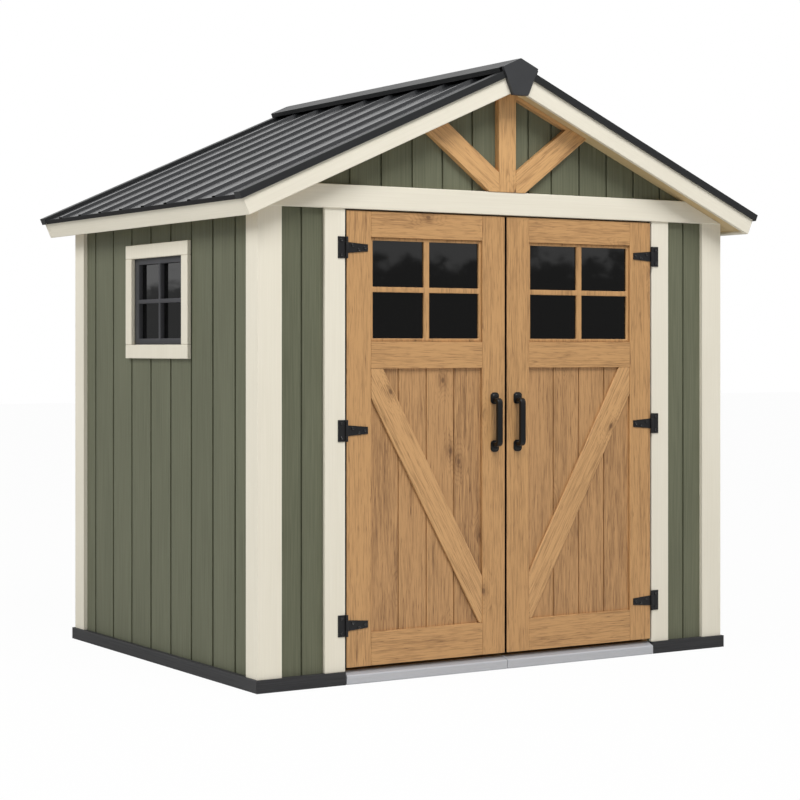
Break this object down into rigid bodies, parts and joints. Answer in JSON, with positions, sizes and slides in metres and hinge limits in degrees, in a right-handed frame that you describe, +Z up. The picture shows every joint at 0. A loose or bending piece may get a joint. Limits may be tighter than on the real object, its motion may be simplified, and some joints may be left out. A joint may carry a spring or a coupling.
{
  "type": "garden shed",
  "caption": "Timber garden shed with green board walls, cream trim, a ribbed metal gable roof, side windows and glazed double doors with braces and strap hinges.",
  "frame": {"origin": "middle of the overall box on the ground", "axes": "+X to the right along the door end, +Y from the doors to the back, +Z up"},
  "size_m": [2.6912, 2.052, 2.6123],
  "materials": {
    "green_boards": "painted, sage green",
    "cream_trim": "painted, cream",
    "oak_timber": "stained, honey brown",
    "frame_timber": "planed, bare",
    "floor_timber": "planed, bare",
    "skirt_boards": "painted, charcoal",
    "roof_steel": "coated, charcoal",
    "black_iron": "coated, black",
    "threshold_aluminium": "satin",
    "grey_sash": "painted, dark grey",
    "pane_glass": "clear"
  },
  "bodies": {
    "shed": {"floor_bearers": "floor_timber", "floor_deck": "floor_timber", "side_skirts": "skirt_boards", "end_skirts": "skirt_boards", "door_threshold": "threshold_aluminium", "side_walls": "green_boards", "back_wall": "green_boards", "front_walls": "green_boards", "front_gable": "green_boards", "wall_studs": "frame_timber", "wall_plates": "frame_timber", "end_headers": "frame_timber", "door_stops": "frame_timber", "corner_boards": "cream_trim", "door_casings": "cream_trim", "gable_beams": "cream_trim", "king_post": "oak_timber", "truss_struts": "oak_timber", "truss_chords": "oak_timber", "rafters": "frame_timber", "ridge_board": "frame_timber", "roof_decks": "frame_timber", "roof_sheets": "roof_steel", "soffits": "cream_trim", "barge_boards": "cream_trim", "eave_fascias": "cream_trim", "rake_trims": "roof_steel", "eave_trims": "roof_steel", "ridge_cap": "roof_steel", "ridge_end_caps": "roof_steel", "window_casings": "cream_trim", "window_sashes": "grey_sash", "window_glass": "pane_glass", "hinge_plates": "black_iron"},
    "left_door": {"left_door_stiles": "oak_timber", "left_door_rails": "oak_timber", "left_door_panel": "oak_timber", "left_door_brace": "oak_timber", "left_door_glass": "pane_glass", "left_door_handle": "black_iron", "left_hinge_straps": "black_iron"},
    "right_door": {"right_door_stiles": "oak_timber", "right_door_rails": "oak_timber", "right_door_panel": "oak_timber", "right_door_brace": "oak_timber", "right_door_glass": "pane_glass", "right_door_handle": "black_iron", "right_hinge_straps": "black_iron"}
  },
  "joints": [
    {"name": "left_door_swing", "type": "hinge", "parent": "shed", "child": "left_door", "pos_m": [-0.799, -0.92, 1], "axis": [0, 0, -1], "range_deg": [0, 150]},
    {"name": "right_door_swing", "type": "hinge", "parent": "shed", "child": "right_door", "pos_m": [0.799, -0.92, 1], "axis": [0, 0, 1], "range_deg": [0, 150]}
  ]
}
